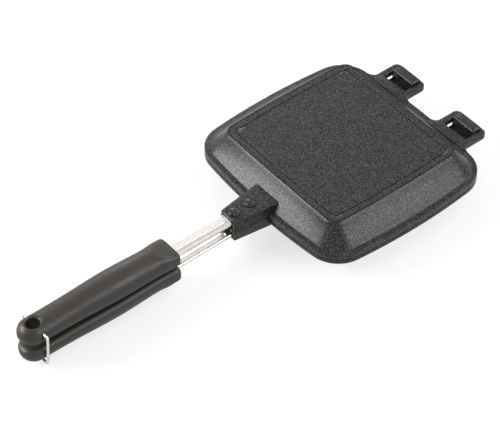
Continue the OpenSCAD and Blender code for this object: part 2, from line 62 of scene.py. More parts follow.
def bowed(hx, hy, rx, ry, c, side=12, corner=12):
    """Ring on a rectangle whose sides bow by radii rx and ry, with round corners of c."""
    def quarter(hx, hy, rx, ry):
        # The corner's arc, about mx, my, touches both sides from inside. The
        # sides turn about -u, 0 and 0, -v and meet the corner at ax and ay.
        u, v = rx - hx, ry - hy
        d = math.hypot(u, v)
        a = ((rx - c) ** 2 - (ry - c) ** 2 + d * d) / (2 * d)
        h = math.sqrt((rx - c) ** 2 - a * a)
        mx, my = (a * u + h * v) / d - u, (h * u - a * v) / d
        ax, ay = math.atan2(my, mx + u), math.atan2(my + v, mx)
        pts = [(rx * math.cos(ax * i / side) - u, rx * math.sin(ax * i / side))
               for i in range(side)]
        for i in range(corner):
            t = ax + (ay - ax) * i / corner
            pts.append((mx + c * math.cos(t), my + c * math.sin(t)))
        for i in range(side):
            t = ay + (math.pi / 2 - ay) * i / side
            pts.append((ry * math.cos(t), ry * math.sin(t) - v))
        return pts
    q = quarter(hx, hy, rx, ry)
    s = [(-y, x) for x, y in quarter(hy, hx, ry, rx)]
    return q + s + [(-x, -y) for x, y in q] + [(-x, -y) for x, y in s]


def rim_ring(inset, z):
    """The rim's outline, that far inside its edge, at height z."""
    bow = side_bow - inset
    ring = bowed(half_w - inset, half_l - inset, bow, bow, rim_corner - inset)
    return [(x, y, z) for x, y in ring]


def plateau_ring(inset, z, corner=None):
    """The plateau's outline, that far inside its edge, at height z."""
    c = max(least_corner, plateau_corner - inset) if corner is None else corner
    ring = bowed(plateau_x - inset, plateau_y - inset, plateau_bow, plateau_end_bow, c)
    return [(x, y, z) for x, y in ring]


def wall_slope(rise, run, r):
    """Angle of the straight that ends level, at the run's end, in a fillet of radius r."""
    return math.atan2(rise - r, run) + math.asin(r / math.hypot(run, rise - r))


def wall(first, last, run, r, sag=0.0, steps=8, turns=10):
    """Rings from first to last: a slope hollowed by sag, then level in a fillet of r."""
    rise = last[0][2] - first[0][2]
    slope = wall_slope(abs(rise), run, r)
    reach = run - r * math.sin(slope)
    path = []
    for i in range(1, steps):
        x, dip = reach * i / steps, 4 * sag * i / steps * (1 - i / steps)
        path.append((x - dip * math.sin(slope), x * math.tan(slope) + dip * math.cos(slope)))
    for i in range(turns + 1):
        a = slope * (1 - i / turns)
        path.append((run - r * math.sin(a), abs(rise) - r * (1 - math.cos(a))))
    rings = [first]
    for out, drop in path:
        f, z = out / run, first[0][2] + math.copysign(drop, rise)
        rings.append([(p[0] + (q[0] - p[0]) * f, p[1] + (q[1] - p[1]) * f, z)
                      for p, q in zip(first, last)])
    return rings


def lofted(rings):
    """Points and faces of a skin through rings, capped at both ends."""
    n = len(rings[0])
    points = [p for ring in rings for p in ring]
    faces = [tuple(range(n)), tuple(range(len(points) - 1, len(points) - 1 - n, -1))]
    for j in range(len(rings) - 1):
        for i in range(n):
            a, b = j * n + i, j * n + (i + 1) % n
            faces.append((a, a + n, b + n, b))
    return points, faces


# The plateau's edge is rounded by edge_r, tangent to the plateau and the wall,
# and the rim's upper edge by lip_r.
edge_r, lip_r = 0.5, 0.7
side_slope = wall_slope(meet_z - rim_h, wall_side, wall_fillet)
edge_cut = edge_r * math.tan(side_slope / 2)
wall_top = meet_z - edge_r * (1 - math.cos(side_slope))
wall_start = edge_cut - edge_r * math.sin(side_slope)


def pan_skin():
    """Outside, rim, meeting face and cavity of one half."""
    # Each profile is pairs of inset and depth, or of inset and height: one side
    # of the panel line, the fine line at the edge, and the rim's meeting face.
    groove_side = ((2.0, 0), (0.08, 0), (0.01, 0.05), (-0.05, 0.20), (-0.16, groove_d))
    fine_line = ((0.8, 0), (0.65, 0.35), (0.15, 0.35))
    face = ((0, 0.4), (0.12, 0.12), (0.4, 0), (rim_face - 0.5, 0), (rim_face - 0.15, 0.1))
    rings = [plateau_ring(groove_inset + groove_w + inset, meet_z - z, groove_corner - groove_w)
             for inset, z in groove_side]
    rings += [plateau_ring(groove_inset - inset, meet_z - z, groove_corner)
              for inset, z in reversed(groove_side)]
    rings += [plateau_ring(edge_cut + inset, meet_z - z) for inset, z in fine_line]
    for i in range(6):
        a = side_slope * i / 6
        rings.append(plateau_ring(edge_cut - edge_r * math.sin(a),
                                  meet_z - edge_r * (1 - math.cos(a))))
    rings += wall(plateau_ring(wall_start, wall_top), rim_ring(rim_flat, rim_h),
                  wall_side + wall_start, wall_fillet, wall_sag)
    for i in range(6):
        a = math.radians(90 * i / 5)
        rings.append(rim_ring(lip_r - lip_r * math.sin(a), rim_h - lip_r * (1 - math.cos(a))))
    low = rim_gap / 2
    rings += [rim_ring(inset, low + z) for inset, z in face]
    rings += wall(rim_ring(rim_face, low + 0.15), plateau_ring(cavity_inset, meet_z - floor_t),
                  rim_flat + wall_side + cavity_inset - rim_face, cavity_fillet)
    rings.append(plateau_ring(cavity_inset + 3, meet_z - floor_t + 0.02))
    return lofted(rings)


def wall_y(z):
    """Distance of the grip-side wall's straight from the middle at height z."""
    if z <= rim_h:
        return half_l
    f = min(1.0, max(0.0, wall_top - z) / math.tan(side_slope) / (wall_side + wall_start))
    return plateau_y - wall_start + (wall_end + wall_start) * f


def arc(cx, cy, r, start, end, steps=8):
    """Points on an arc about cx, cy, from one angle in degrees to another."""
    turns = [math.radians(start + (end - start) * i / steps) for i in range(steps + 1)]
    return [(cx + r * math.cos(a), cy + r * math.sin(a)) for a in turns]


bracket_h, bracket_y, bracket_front, bracket_taper = 8.9, 93.8, 15.2, math.radians(8)
bracket_draft, bracket_edge, bracket_top, root_depth = 0.8, 0.8, 1.8, 1.2
shank_w, bracket_fit, hollow_l, hollow_r = 9.6, 0.1, 23.5, 0.4


def bracket_outer(y, inset=0.0):
    """Half outline of the bracket's section at y, from its foot to its top."""
    half = bracket_front / 2 + (bracket_y - y) * math.tan(bracket_taper) - inset
    top, r = bracket_h - inset, bracket_edge
    front = max(0.0, y - bracket_y + 2 * r) / (2 * r)
    foot = rim_gap / 2 + 2 * r * (1 - math.sqrt(max(0.0, 1 - front * front)))
    sides = [foot + (top - r - foot) * f for f in (0.0, 0.3, 0.65)]
    pts = [(half - bracket_draft * max(0.0, z - 2 * r) / (bracket_h - 3 * r), z) for z in sides]
    cx = half - bracket_draft - r
    return pts + arc(cx, top - r, r, 4, 90, 6) + [(cx * f, top) for f in (0.66, 0.33)]


def bracket():
    """Hollow front stretch with a rounded mouth, and the solid root in the wall."""
    half_in, roof = shank_w / 2 + bracket_fit, bracket_h - bracket_top
    inner = [(half_in, rim_gap / 2), (half_in, 3.0), (half_in, 5.0)]
    inner += arc(half_in - hollow_r, roof - hollow_r, hollow_r, 0, 90, 3)
    hollow_end = bracket_y - hollow_l
    # Steps back from the mouth, and how far the outside is drawn in at each.
    mouth = ((0.0, 0.7), (0.1, 0.42), (0.3, 0.2), (0.7, 0.0), (1.2, 0.0), (1.8, 0.0), (2.3, 0.0))
    rings = []
    for back, inset in mouth + ((hollow_l, 0.0),):
        y = bracket_y - back
        outer = bracket_outer(y, inset)
        core = [(x, max(z, outer[0][1])) for x, z in inner]
        full = outer + [(0, bracket_h - inset)] + [(-x, z) for x, z in outer[::-1]]
        full += [(-x, z) for x, z in core] + [(x, z) for x, z in core[::-1]]
        rings.append([(x, -y, z) for x, z in full])
    root = []
    for f in (0.0, 0.25, 0.5, 0.75, 1.0):
        ring = []
        for x, z in bracket_outer(hollow_end) + [(0, bracket_h)]:
            y = hollow_end + (wall_y(z) - root_depth - hollow_end) * f
            grow = (hollow_end - y) * math.tan(bracket_taper)
            ring.append((x + (grow if x > 0 else 0), -y, z))
        root.append(ring + [(-x, y, z) for x, y, z in ring[-2::-1]])
    return [lofted(rings), lofted(root)]


tab_x, tab_w, tab_reach, tab_t = 30.0, 29.5, 19.4, 4.0
tab_corner, tab_fillet, tab_edge = 4.0, 4.0, 0.45
slot_w, slot_inset, slot_corner, bar_d = 20.4, 3.5, 1.0, 3.8
hinge_y, hinge_z = half_l + tab_reach - tab_t / 2, rim_gap / 2 + tab_t / 2
# Tabs and arms run that far into the rim, and a bar's ends into its tab.
fuse = 1.0


def slab(outline, holes, low, high, edge):
    """Flat plate of the outline, minus holes, from low to high, edges rounded."""
    curve = bpy.data.curves.new("slab", "CURVE")
    curve.dimensions, curve.fill_mode = "2D", "BOTH"
    curve.extrude, curve.bevel_depth = (high - low) / 2 - edge, edge
    curve.bevel_resolution, curve.offset = 2, -edge
    for ring in [outline] + holes:
        spline = curve.splines.new("POLY")
        spline.points.add(len(ring) - 1)
        for point, (x, y) in zip(spline.points, ring):
            point.co = (x, y, 0, 1)
        spline.use_cyclic_u = True
    holder = bpy.data.objects.new("slab", curve)
    bpy.context.scene.collection.objects.link(holder)
    graph = bpy.context.evaluated_depsgraph_get()
    mesh = bpy.data.meshes.new_from_object(holder.evaluated_get(graph))
    bm = bmesh.new()
    bm.from_mesh(mesh)
    bmesh.ops.remove_doubles(bm, verts=bm.verts, dist=0.01)
    bm.verts.index_update()
    points = [(v.co.x, v.co.y, v.co.z + (low + high) / 2) for v in bm.verts]
    faces = [tuple(v.index for v in f.verts) for f in bm.faces]
    bm.free()
    bpy.data.objects.remove(holder)
    bpy.data.curves.remove(curve)
    bpy.data.meshes.remove(mesh)
    return points, faces


def rounded(x0, y0, x1, y1, r):
    """Rectangle between two corners, rounded by r."""
    return (arc(x1 - r, y0 + r, r, -90, 0) + arc(x1 - r, y1 - r, r, 0, 90)
            + arc(x0 + r, y1 - r, r, 90, 180) + arc(x0 + r, y0 + r, r, 180, 270))


def rim_edge(x):
    """Distance of the rim's bowed edge from the middle at x."""
    return math.sqrt(side_bow ** 2 - x * x) - (side_bow - half_l)


def tab(x):
    """Slotted hinge tab with fillets to the rim, and the bar across its end."""
    x0, x1, end = x - tab_w / 2, x + tab_w / 2, half_l + tab_reach
    root, f, c = half_l - rim_face + fuse, tab_fillet, tab_corner
    left = arc(x0 - f, rim_edge(x0 - f) + f, f, 270, 360)
    right = arc(x1 + f, rim_edge(x1 + f) + f, f, 180, 270)
    outline = [(x0 - f, root), (x1 + f, root)] + right[::-1] + arc(x1 - c, end - c, c, 0, 90)
    outline += arc(x0 + c, end - c, c, 90, 180) + left[::-1]
    s0, s1, low = x - slot_w / 2, x + slot_w / 2, rim_gap / 2
    slot = rounded(s0, half_l + slot_inset, s1, hinge_y, slot_corner)
    turns = [math.tau * i / 32 for i in range(32)]
    rings = [[(px, hinge_y + bar_d / 2 * math.cos(a), hinge_z + bar_d / 2 * math.sin(a))
              for a in turns] for px in (s0 - fuse, s0, s1, s1 + fuse)]
    return [slab(outline, [slot[::-1]], low, low + tab_t, tab_edge), lofted(rings)]


# The hook stands hinge_gap from the bar, so that the tab's lower corner still
# swings past its upright when the lid is fully open.
hinge_gap, hook_side_gap, hook_t, hook_top, hook_round = 0.6, 0.5, 4.5, 2.05, 2.0
arm_w, arm_corner, arm_edge = 18.4, 0.5, 0.4


def hook(x):
    """Arm under the tab, upright as wide as the slot, and lip over the bar."""
    out_y, tip_y = hinge_y - bar_d / 2 - hinge_gap, hinge_y + hinge_gap
    in_y, top_z = out_y - hook_t, hinge_z + bar_d / 2 + hinge_gap + hook_top
    root, low = half_l - rim_face + fuse, -rim_gap / 2 - tab_t
    r, bore, half = hook_round, bar_d / 2 + hinge_gap, slot_w / 2 - hook_side_gap
    outline = [(in_y, low), (out_y, low), (out_y, hinge_z)]
    outline += arc(hinge_y, hinge_z, bore, 180, 81)[1:]
    outline += arc(tip_y - r / 2, top_z - r / 2, r / 2, 0, 90)
    outline += arc(in_y + r, top_z - r, r, 90, 180)
    # Each station across the hook is the outline, cut off at its round shoulder.
    left = [(-half + r * (1 - math.cos(a)), top_z - r * (1 - math.sin(a)))
            for a in [math.radians(15 * i) for i in range(7)]]
    stations = left + [(-px, top) for px, top in left[::-1]]
    upright = lofted([[(x + px, py, min(pz, top)) for py, pz in outline] for px, top in stations])
    flat = rounded(root, low, out_y, low + tab_t, arm_corner)
    points, faces = slab(flat, [], x - arm_w / 2, x + arm_w / 2, arm_edge)
    return [upright, ([(pz, px, py) for px, py, pz in points], faces)]


MM = 0.001        # a millimetre in the scene's metres


def lin(hex_code):
    """sRGB hex to a linear colour with alpha."""
    parts = [int(hex_code[i:i + 2], 16) / 255 for i in (1, 3, 5)]
    return [p / 12.92 if p <= 0.04045 else ((p + 0.055) / 1.055) ** 2.4 for p in parts] + [1.0]


def add(tree, kind, links=None, **settings):
    """A node with its settings, its input values and its links."""
    node = tree.nodes.new(kind)
    for key, value in settings.items():
        setattr(node, key, value)
    for key, value in (links or {}).items():
        if isinstance(value, bpy.types.NodeSocket):
            tree.links.new(value, node.inputs[key])
        else:
            node.inputs[key].default_value = value
    return node


def finish(name):
    """A new material of that name, its empty tree, and its Object coordinates."""
    material = bpy.data.materials.new(name)
    material.use_nodes = True
    tree = material.node_tree
    tree.nodes.clear()
    return material, tree, add(tree, "ShaderNodeTexCoord").outputs["Object"]


# Non-stick coat on a shot-blasted casting: nearly black blue-grey with a soft
# gloss, full of fine pale flakes that sparkle where the light strikes them.
# Flakes of about 0.2 mm are drawn at 0.4 mm, and the blasted grain of about
# 0.3 mm at 0.7 mm, so that they show.
coat, nt, place = finish("nonstick_coat")
cells = add(nt, "ShaderNodeTexVoronoi", {"Vector": place, "Scale": 1 / (0.4 * MM)}).outputs["Color"]
chance = add(nt, "ShaderNodeSeparateColor", {"Color": cells}).outputs["Red"]
flake = add(nt, "ShaderNodeMapRange", {"Value": chance, "From Min": 0.5,
                                       "From Max": 1.0}).outputs[0]
colour = add(nt, "ShaderNodeMix", {"Factor": flake, 6: lin("#070708"), 7: lin("#595a5e")},
             data_type="RGBA").outputs[2]
blast = add(nt, "ShaderNodeTexNoise", {"Vector": place, "Scale": 1 / (0.7 * MM),
                                       "Detail": 1.0}).outputs["Fac"]
rough = add(nt, "ShaderNodeMapRange", {"Value": blast, "From Min": 0.3, "From Max": 0.7,
                                       "To Min": 0.28, "To Max": 0.36}).outputs[0]
bump = add(nt, "ShaderNodeBump", {"Height": blast, "Strength": 1.0,
                                  "Distance": 0.035 * MM}).outputs[0]
shader = add(nt, "ShaderNodeBsdfPrincipled", {
    "Base Color": colour, "Roughness": rough, "Normal": bump, "IOR": 1.35,
    "Metallic": 0.15}).outputs[0]
add(nt, "ShaderNodeOutputMaterial", {"Surface": shader})


def upper(p):
    """A point of a half in its place as the upper one."""
    return (p[0], p[1], p[2] + meet_z)


def lower(p):
    """A point of a half in its place as the lower one, turned over."""
    return (p[0], p[1], meet_z - p[2])


def piece(name, parts, place=lambda p: p, sharp=35):
    """One mesh object from closed parts in millimetres, faces turned outwards."""
    mesh = bpy.data.meshes.new(name)
    points, faces = [], []
    for part_points, part_faces in parts:
        start = len(points)
        points += [Vector(place(p)) * MM for p in part_points]
        faces += [tuple(i + start for i in f) for f in part_faces]
    mesh.from_pydata(points, [], faces)
    bm = bmesh.new()
    bm.from_mesh(mesh)
    bmesh.ops.dissolve_degenerate(bm, dist=1e-6, edges=bm.edges)
    bmesh.ops.recalc_face_normals(bm, faces=bm.faces)
    bm.to_mesh(mesh)
    bm.free()
    mesh.shade_smooth()
    mesh.set_sharp_from_angle(angle=math.radians(sharp))
    obj = bpy.data.objects.new(name, mesh)
    bpy.context.scene.collection.objects.link(obj)
    return obj


tabs = tab(-tab_x) + tab(tab_x)
upper_pan = piece("upper_pan_casting", [pan_skin()] + bracket() + tabs, upper)
hooks = [([(x, y, -z) for x, y, z in points], faces)
         for points, faces in hook(-tab_x) + hook(tab_x)]
lower_pan = piece("lower_pan_casting", [pan_skin()] + bracket() + hooks, lower)
for obj, body in ((upper_pan, "upper_half"), (lower_pan, "lower_half")):
    obj.data.materials.append(coat)
    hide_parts(body.replace("half", "pan"))
    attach(obj, body)

# ---- Shanks -----------------------------------------------------------------
# Two strips of aluminium sheet bent to a channel, with a round-ended bead
# pressed up along the web. The flanges face each other across the gap.

shank_h, sheet_t, bend_r, sheet_edge, lean = 3.3, 1.4, 1.5, 0.25, math.radians(0.8)
bead_w, bead_h, bead_inset, bead_side = 5.6, 0.6, 2.1, 0.55
web_z, bend_y = bracket_h - bracket_top, bracket_y - 1
grip_y, tang_l = bracket_y + 44.7, 58.0
bead_y = bracket_y + bead_inset + bead_w / 2


def bead_rise(x, y, half):
    """Height pressed up at x and y by a bead of that half width with a round end."""
    f = max(0.0, min(1.0, (half - math.hypot(x, max(0.0, bead_y - y))) / bead_side))
    return bead_h * f * f * (3 - 2 * f)


def shank_rings():
    """Sections of the channel, from inside the bracket to the tang's end."""
    # They lie closest round the bead's end, and their points on the bead's sides.
    root_y = bracket_y - hollow_l + bracket_fit
    stations = [root_y, root_y + 0.2, 80, bend_y - 0.5, bend_y, bend_y + 0.5]
    stations += [bracket_y + bead_inset - 0.4 + 0.2 * i for i in range(20)]
    stations += [bead_y + 2, bead_y + 8, 120, grip_y, 160, 180, grip_y + tang_l * math.cos(lean)]
    web_x = [0, 0.5, 1.0, 1.4, 1.7, 1.95, 2.15, 2.3, 2.45, 2.6, 2.75, 2.9, 3.1]
    hw, r, e = shank_w / 2, bend_r, sheet_edge
    rings = []
    for y in stations:
        top = web_z + max(0.0, y - bend_y) * math.tan(lean)
        low = top - shank_h
        outer = [(x, top + bead_rise(x, y, bead_w / 2)) for x in web_x]
        outer += arc(hw - r, top - r, r, 90, 0, 6) + [(hw, low + e), (hw - e, low)]
        inner = [(x, top - sheet_t + bead_rise(x, y, bead_w / 2 - 0.3)) for x in web_x]
        inner += arc(hw - r, top - r, r - sheet_t + 0.15, 90, 0, 6)
        inner += [(hw - sheet_t, low + e), (hw - sheet_t + e, low)]
        loop = [(-x, z) for x, z in outer[:0:-1]] + outer
        loop += inner[::-1] + [(-x, z) for x, z in inner[1:]]
        rings.append([(x, -y, z) for x, z in loop])
    return rings


# Drawn aluminium sheet: bright satin with fine lines along the strip, which
# blur reflections across them. Real lines of 0.05 mm are drawn at 0.35 mm. Dark
# lines of painted shade run along each side of the bead and each bend, where
# the creases fall into shade.
crease_x, crease_pitch = 2.65, 1.6
satin, nt, place = finish("satin_aluminium")
fine, long = 1 / (0.35 * MM), 1 / (90 * MM)
lines = add(nt, "ShaderNodeMapping", {"Vector": place, "Scale": (fine, long, fine)}).outputs[0]
drawn = add(nt, "ShaderNodeTexNoise", {"Vector": lines, "Scale": 1.0,
                                       "Detail": 1.0}).outputs["Fac"]
sheet = add(nt, "ShaderNodeMix", {"Factor": drawn, 6: lin("#cfccc7"), 7: lin("#e2dfda")},
            data_type="RGBA").outputs[2]
middle = add(nt, "ShaderNodeSeparateXYZ", {"Vector": place}).outputs[0]
across = add(nt, "ShaderNodeMath", {0: middle}, operation="ABSOLUTE").outputs[0]
# Mask of the painted crease shade: thin lines at crease_x and every crease_pitch beyond it, outside
# the bead's middle.
off = add(nt, "ShaderNodeMath", {0: across, 1: crease_x * MM}, operation="SUBTRACT").outputs[0]
crease_shade_wave = add(nt, "ShaderNodeMath", {0: off, 1: crease_pitch * MM / 2},
             operation="PINGPONG").outputs[0]
crease_shade = add(nt, "ShaderNodeMapRange", {
    "Value": crease_shade_wave, "From Min": 0.15 * MM, "From Max": 0.45 * MM, "To Min": 1.0,
    "To Max": 0.0}).outputs[0]
web = add(nt, "ShaderNodeMapRange", {"Value": across, "From Min": 2.2 * MM,
                                     "From Max": 2.3 * MM}).outputs[0]
painted_crease_shade = add(nt, "ShaderNodeMath", {0: crease_shade, 1: web}, operation="MULTIPLY").outputs[0]
# Painted shade: the sheet's colour is darkened towards #76726d along those crease lines.
tone = add(nt, "ShaderNodeMix", {"Factor": painted_crease_shade, 6: sheet, 7: lin("#76726d")},
           data_type="RGBA").outputs[2]
rough = add(nt, "ShaderNodeMapRange", {"Value": drawn, "From Min": 0.3, "From Max": 0.7,
                                       "To Min": 0.22, "To Max": 0.36}).outputs[0]
bump = add(nt, "ShaderNodeBump", {"Height": drawn, "Strength": 0.3,
                                  "Distance": 0.01 * MM}).outputs[0]
shader = add(nt, "ShaderNodeBsdfPrincipled", {
    "Base Color": tone, "Roughness": rough, "Normal": bump, "Metallic": 1.0}).outputs[0]
add(nt, "ShaderNodeOutputMaterial", {"Surface": shader})

for side, body in ((upper, "upper_half"), (lower, "lower_half")):
    shank = piece(body.replace("half", "channel_shank"), [lofted(shank_rings())], side, sharp=28)
    shank.data.materials.append(satin)
    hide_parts(body.replace("half", "shank"))
    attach(shank, body)

# ---- Rivets -----------------------------------------------------------------
# Two solid rivets hold each shank in its bracket: a domed head outside, a stem
# through bracket and web, and a flat closing head inside. They carry the coat.

front_rivet, rivet_pitch = bracket_y - 5.4, 12.9


def group(name, **inputs):
    """A geometry tree with named inputs, and its input and output sockets."""
    tree = bpy.data.node_groups.new(name, "GeometryNodeTree")
    for key, value in inputs.items():
        kind = value
        if not isinstance(value, str):
            kind = "NodeSocketVector" if isinstance(value, tuple) else "NodeSocketFloat"
        socket = tree.interface.new_socket(key, in_out="INPUT", socket_type=kind)
        if kind != value:
            socket.default_value = value
    tree.interface.new_socket("Geometry", in_out="OUTPUT", socket_type="NodeSocketGeometry")
    return tree, add(tree, "NodeGroupInput").outputs, add(tree, "NodeGroupOutput").inputs


def grown(name, tree, mesh=None, sharp=40, **values):
    """The tree's result as a plain closed mesh object, with inputs set by name."""
    obj = bpy.data.objects.new(name, mesh or bpy.data.meshes.new(name))
    bpy.context.scene.collection.objects.link(obj)
    modifier = obj.modifiers.new("grow", "NODES")
    modifier.node_group = tree
    for item in tree.interface.items_tree:
        if item.in_out == "INPUT" and item.name in values:
            modifier[item.identifier] = values[item.name]
    graph = bpy.context.evaluated_depsgraph_get()
    result = bpy.data.meshes.new_from_object(obj.evaluated_get(graph))
    obj.modifiers.remove(modifier)
    obj.data = result
    result.name = name
    bm = bmesh.new()
    bm.from_mesh(result)
    bmesh.ops.remove_doubles(bm, verts=bm.verts, dist=1e-6)
    bmesh.ops.recalc_face_normals(bm, faces=bm.faces)
    bm.to_mesh(result)
    bm.free()
    result.shade_smooth()
    result.set_sharp_from_angle(angle=math.radians(sharp))
    return obj


tree, given, out = group("rivet_row", first=(0.0, -front_rivet * MM, 0.0), pitch=rivet_pitch * MM,
                         head_d=8.2 * MM, head_h=1.9 * MM, edge_h=0.5 * MM,
                         stem_d=4.0 * MM, tail_d=6.0 * MM,
                         face_z=bracket_h * MM, web_low=(web_z - sheet_t) * MM, tail_h=1.2 * MM,
                         up=1.0, middle_z=meet_z * MM, metal="NodeSocketMaterial")


def calc(operation, a, b=0.0):
    """Arithmetic on values in the tree that is being made."""
    return add(tree, "ShaderNodeMath", {0: a, 1: b}, operation=operation).outputs[0]


def vec(x=0.0, y=0.0, z=0.0):
    """A vector in the tree that is being made."""
    return add(tree, "ShaderNodeCombineXYZ", {"X": x, "Y": y, "Z": z}).outputs[0]


# The upper half of a ball of radius 1, widened, lowered and set on an upright
# edge, is the head. The ball's lowest part, up to edge_share of its height,
# where it is edge_span in radius, is drawn out to that edge.
edge_share, edge_span = 0.25, 0.968
ball = add(tree, "GeometryNodeMeshUVSphere", {"Segments": 48, "Rings": 32,
                                              "Radius": 1.0}).outputs["Mesh"]
where = add(tree, "GeometryNodeInputPosition").outputs[0]
split = add(tree, "ShaderNodeSeparateXYZ", {"Vector": where}).outputs
above = calc("DIVIDE", calc("SUBTRACT", split[2], edge_share), 1 - edge_share)
above = calc("MAXIMUM", above, 0.0)
crown = calc("MULTIPLY", above, calc("SUBTRACT", given["head_h"], given["edge_h"]))
brim = calc("MINIMUM", calc("MAXIMUM", calc("MULTIPLY", split[2], 1 / edge_share), 0.0), 1.0)
brim = calc("MULTIPLY", brim, given["edge_h"])
lifted = calc("ADD", calc("ADD", crown, brim), given["face_z"])
wide = calc("MULTIPLY", given["head_d"], 0.5)
widest = calc("SQRT", calc("SUBTRACT", 1.0, calc("POWER", split[2], 2.0)))
widest = calc("MAXIMUM", widest, 0.001)
swell = calc("MULTIPLY", wide, calc("MINIMUM", calc("DIVIDE", widest, edge_span), 1.0))
swell = calc("DIVIDE", swell, widest)
dome = add(tree, "GeometryNodeSetPosition", {"Geometry": ball, "Position": vec(
    calc("MULTIPLY", split[0], swell), calc("MULTIPLY", split[1], swell), lifted)}).outputs[0]


def rod(diameter, low, high):
    """A cylinder of that diameter between two heights."""
    shape = add(tree, "GeometryNodeMeshCylinder", {
        "Vertices": 40, "Radius": calc("MULTIPLY", diameter, 0.5),
        "Depth": calc("SUBTRACT", high, low)}).outputs["Mesh"]
    centre = vec(0.0, 0.0, calc("MULTIPLY", calc("ADD", low, high), 0.5))
    return add(tree, "GeometryNodeTransform", {"Geometry": shape,
                                               "Translation": centre}).outputs[0]


# The stem runs 0.2 mm into the head, so that the two touch.
stem = rod(given["stem_d"], given["web_low"], calc("ADD", given["face_z"], 0.2 * MM))
tail = rod(given["tail_d"], calc("SUBTRACT", given["web_low"], given["tail_h"]), given["web_low"])
whole = add(tree, "GeometryNodeJoinGeometry")
for part in (dome, stem, tail):
    tree.links.new(part, whole.inputs[0])
row = add(tree, "GeometryNodeMeshLine", {
    "Count": 2, "Start Location": given["first"],
    "Offset": vec(0.0, given["pitch"], 0.0)}, mode="OFFSET").outputs[0]
placed = add(tree, "GeometryNodeInstanceOnPoints", {"Points": row,
                                                    "Instance": whole.outputs[0]}).outputs[0]
turned = add(tree, "GeometryNodeTransform", {
    "Geometry": placed, "Translation": vec(0.0, 0.0, given["middle_z"]),
    "Scale": vec(1.0, 1.0, given["up"])}).outputs[0]
real = add(tree, "GeometryNodeRealizeInstances", {"Geometry": turned}).outputs[0]
done = add(tree, "GeometryNodeSetMaterial", {"Geometry": real,
                                             "Material": given["metal"]}).outputs[0]
tree.links.new(done, out[0])

for body, up in (("upper_half", 1.0), ("lower_half", -1.0)):
    rivets = grown(body.replace("half", "rivets"), tree, up=up, metal=coat)
    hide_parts(body.replace("half", "rivet_front"), body.replace("half", "rivet_rear"))
    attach(rivets, body)

# ---- Grips ------------------------------------------------------------------
# Two alike mouldings in black phenolic resin, pushed over the tangs: a flat
# side, a domed back flattened in front, and a round end with a hang hole.

grip_l, grip_gap, side_h, edge_round, front_r = 116.0, 0.85, 4.6, 4.0, 2.4
# Width, thickness and roundness of the section at the front, waist, middle and
# end, and how far from the front the last three lie.
front_w, waist_w, mid_w, end_w = 21.6, 20.8, 21.5, 19.4
front_t, waist_t, mid_t, end_t = 11.0, 14.5, 15.4, 12.8
front_power, power = 5.0, 2.2
waist_s, mid_s, taper_s = 17.0, 44.0, grip_l - 30
end_r = end_w / 2
end_s = grip_l - end_r


def eased(a, b, f):
    """From a to b as f goes from 0 to 1, level at both ends."""
    return a + (b - a) * (1 - math.cos(math.pi * max(0.0, min(1.0, f)))) / 2


def along(s, front, waist, mid, end, last):
    """A size of the grip at s from its front, eased from station to station."""
    if s < waist_s:
        return eased(front, waist, (s - front_r) / (waist_s - front_r))
    if s < mid_s:
        return eased(waist, mid, (s - waist_s) / (mid_s - waist_s))
    return eased(mid, end, (s - mid_s) / (last - mid_s))


def half_section(w, t, p, inset, steps=16):
    """Crown to widest line, and the rounded edge down to the flat side."""
    hw, rise, r = w / 2 - inset, t - inset - side_h, edge_round - inset
    turns = [math.pi / 2 * i / steps for i in range(steps, -1, -1)]
    dome = [(hw * math.cos(a) ** (2 / p), side_h + rise * math.sin(a) ** (2 / p)) for a in turns]
    return dome, arc(hw - r, inset + r, r, 0, -90, 8)


def ringed(dome, edge, s):
    """Both halves of a section as one ring at s from the grip's front."""
    ring = dome[::-1] + [(-x, z) for x, z in dome[1:] + edge] + edge[::-1]
    return [(x, -s, z) for x, z in ring]


def grip_ring(s, inset=0.0):
    """Section of the grip at s from its front, that far inside its surface."""
    dome, edge = half_section(along(s, front_w, waist_w, mid_w, end_w, taper_s),
                              along(s, front_t, waist_t, mid_t, end_t, end_s),
                              along(s, front_power, power, power, power, end_s), inset)
    return ringed(dome, edge, s)


def back_z(rho):
    """Height of the round end's back at rho from the axis that it turns about."""
    return side_h + (end_t - side_h) * max(0.0, 1 - (rho / end_r) ** power) ** (1 / power)


def edge_z(rho):
    """Height of the round end's lower edge at rho from that axis."""
    return edge_round - math.sqrt(edge_round ** 2 - max(0.0, rho - end_r + edge_round) ** 2)


def end_ring(a):
    """Upright cut through the round end where its section has turned by a."""
    dome, edge = half_section(end_w, end_t, power, 0.0)
    across, out_s = math.cos(a), end_r * math.sin(a)
    dome = [(x * across, back_z(min(end_r, math.hypot(x * across, out_s)))) for x, z in dome]
    edge = [(x * across, edge_z(min(end_r, math.hypot(x * across, out_s)))) for x, z in edge]
    return ringed(dome, edge, end_s + out_s)


def leaned(p):
    """From the grip's own frame to the frame of the meeting face."""
    return (p[0], p[1] * math.cos(lean) + p[2] * math.sin(lean) - grip_y,
            p[2] * math.cos(lean) - p[1] * math.sin(lean) + grip_gap)


rings = [grip_ring(front_r * (1 - math.sin(a)), front_r * (1 - math.cos(a)))
         for a in [math.radians(15 * i) for i in range(6, -1, -1)]]
rings += [grip_ring(front_r + (end_s - front_r) * i / 48) for i in range(1, 49)]
rings += [end_ring(math.radians(3 * i)) for i in range(1, 30)]
grip_body = piece("grip_body", [lofted(rings)], leaned)


def turned_solid(profile, x, y, steps=64):
    """Closed solid turned about a vertical axis at x, y from (radius, z)."""
    turns = [math.tau * i / steps for i in range(steps)]
    return lofted([[(x + r * math.cos(a), y + r * math.sin(a), z) for a in turns]
                   for r, z in profile])


